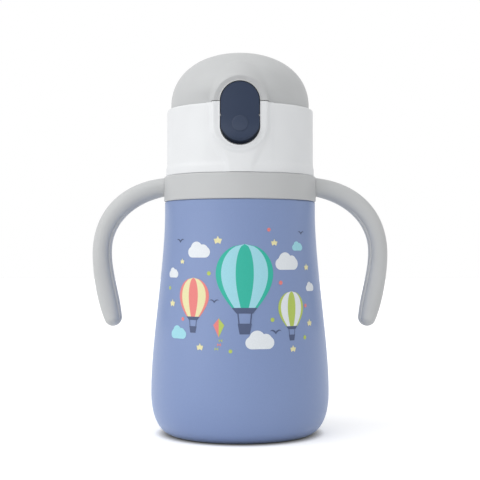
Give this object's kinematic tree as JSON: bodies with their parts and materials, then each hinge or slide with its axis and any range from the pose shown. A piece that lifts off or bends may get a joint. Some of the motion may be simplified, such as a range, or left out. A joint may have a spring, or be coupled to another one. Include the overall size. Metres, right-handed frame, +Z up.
{
  "type": "kids water bottle",
  "caption": "Insulated steel drinking bottle with side handles, a screw lid, a push button and a sprung dome over a folding silicone spout.",
  "frame": {"origin": "centre of the flask's resting ring, at the level of the surface that it stands on", "axes": "+Z up along the flask's axis, the button faces -Y, the handles reach out along X, the dome's hinge is at +Y"},
  "size_m": [0.1334, 0.08, 0.171],
  "materials": {
    "coated_steel": "satin powder coat",
    "steel": "brushed",
    "spring_steel": "drawn wire",
    "getter_metal": "matt",
    "grey_plastic": "satin moulded",
    "white_plastic": "satin moulded",
    "inner_plastic": "satin moulded",
    "navy_plastic": "satin moulded",
    "silicone": "matt translucent",
    "straw_plastic": "translucent"
  },
  "bodies": {
    "flask": {"outer_shell": "coated_steel", "inner_flask": "steel", "base_cap": "steel", "vacuum_getter": "getter_metal", "handle_ring": "grey_plastic", "left_handle": "grey_plastic", "right_handle": "grey_plastic"},
    "gasket": {"lid_gasket": "silicone"},
    "lid": {"lid_collar": "white_plastic", "lid_deck": "inner_plastic", "spout_base": "silicone", "straw_tube": "straw_plastic", "vent_valve": "silicone", "hinge_pin": "steel", "hinge_spring": "spring_steel", "button_pin": "steel", "button_spring": "spring_steel"},
    "dome": {"dome_cover": "grey_plastic", "dome_bumper": "silicone"},
    "button": {"push_button": "navy_plastic"},
    "spout": {"spout_mouthpiece": "silicone"}
  },
  "joints": [
    {"name": "lid_rise", "type": "slide", "parent": "flask", "child": "gasket", "axis": [0, 0, 1], "range_m": [0, 0.009]},
    {"name": "lid_turn", "type": "hinge", "parent": "gasket", "child": "lid", "pos_m": [0, 0, 0.122], "axis": [0, 0, 1], "range_deg": [0, 360]},
    {"name": "dome_hinge", "type": "hinge", "parent": "lid", "child": "dome", "pos_m": [0, 0.0334, 0.1465], "axis": [-1, 0, 0], "range_deg": [0, 115], "deforming": ["hinge_spring"]},
    {"name": "button_tilt", "type": "hinge", "parent": "lid", "child": "button", "pos_m": [0, -0.0304, 0.1397], "axis": [1, 0, 0], "range_deg": [0, 7], "stiffness_Nm_per_rad": 0.05, "springref_deg": -1.72, "deforming": ["button_spring"]},
    {"name": "spout_fold", "type": "hinge", "parent": "lid", "child": "spout", "pos_m": [0, 0.005, 0.1386], "axis": [-1, 0, 0], "range_deg": [0, 48]}
  ],
  "couplings": [
    {"joint": "lid_rise", "follows": "lid_turn", "m_per_rad": 0.0014324},
    {"joint": "spout_fold", "follows": "dome_hinge", "ratio": 0.41739}
  ]
}
